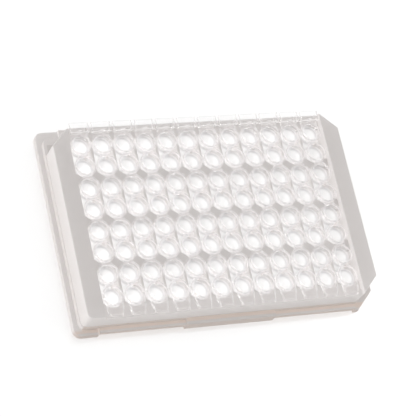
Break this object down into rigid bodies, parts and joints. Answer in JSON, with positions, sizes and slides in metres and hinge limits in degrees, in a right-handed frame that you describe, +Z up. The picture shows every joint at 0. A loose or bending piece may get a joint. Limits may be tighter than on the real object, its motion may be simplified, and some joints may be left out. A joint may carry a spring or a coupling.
{
  "type": "well plate",
  "caption": "Microplate made of clear strips of round flat-bottomed wells held in a moulded translucent frame with cut corners and a flanged foot.",
  "frame": {"origin": "centre of the footprint, on the surface the plate stands on", "axes": "+X along the plate towards the last strip, +Y across it towards the finger tabs (row A), +Z up"},
  "size_m": [0.1278, 0.0854, 0.0152],
  "materials": {
    "frame_plastic": "translucent, fine satin",
    "clear_plastic": "clear, polished"
  },
  "bodies": {
    "root": {"frame": "frame_plastic", "strip_01": "clear_plastic", "strip_02": "clear_plastic", "strip_03": "clear_plastic", "strip_04": "clear_plastic", "strip_05": "clear_plastic", "strip_06": "clear_plastic", "strip_07": "clear_plastic", "strip_08": "clear_plastic", "strip_09": "clear_plastic", "strip_10": "clear_plastic", "strip_11": "clear_plastic", "strip_12": "clear_plastic"}
  },
  "joints": []
}
